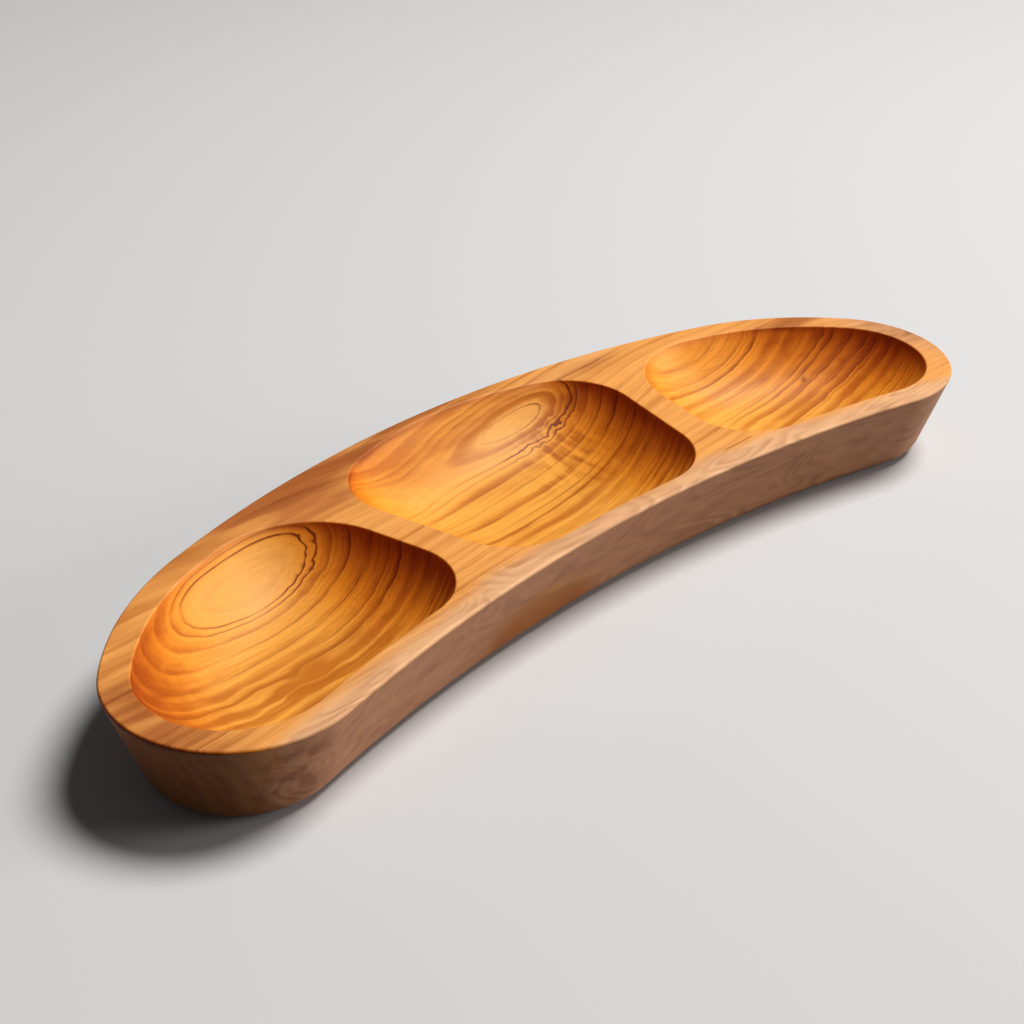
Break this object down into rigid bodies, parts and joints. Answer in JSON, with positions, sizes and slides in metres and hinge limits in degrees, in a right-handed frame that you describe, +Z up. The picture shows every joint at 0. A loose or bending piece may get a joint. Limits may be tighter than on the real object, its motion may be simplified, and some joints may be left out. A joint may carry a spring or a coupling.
{
  "type": "divided appetizer platter",
  "caption": "Long curved serving platter carved from one piece of olive wood, with scooped hollows for snacks that are parted by low dividers.",
  "frame": {"origin": "on the table, under the middle of the rim's box", "axes": "+X from tip to tip, to the right seen from the bent-in front, +Y to the bowed back, +Z up"},
  "size_m": [0.38, 0.125, 0.035],
  "materials": {
    "olive_wood": "oiled satin"
  },
  "bodies": {
    "root": {"carved_platter": "olive_wood"}
  },
  "joints": []
}
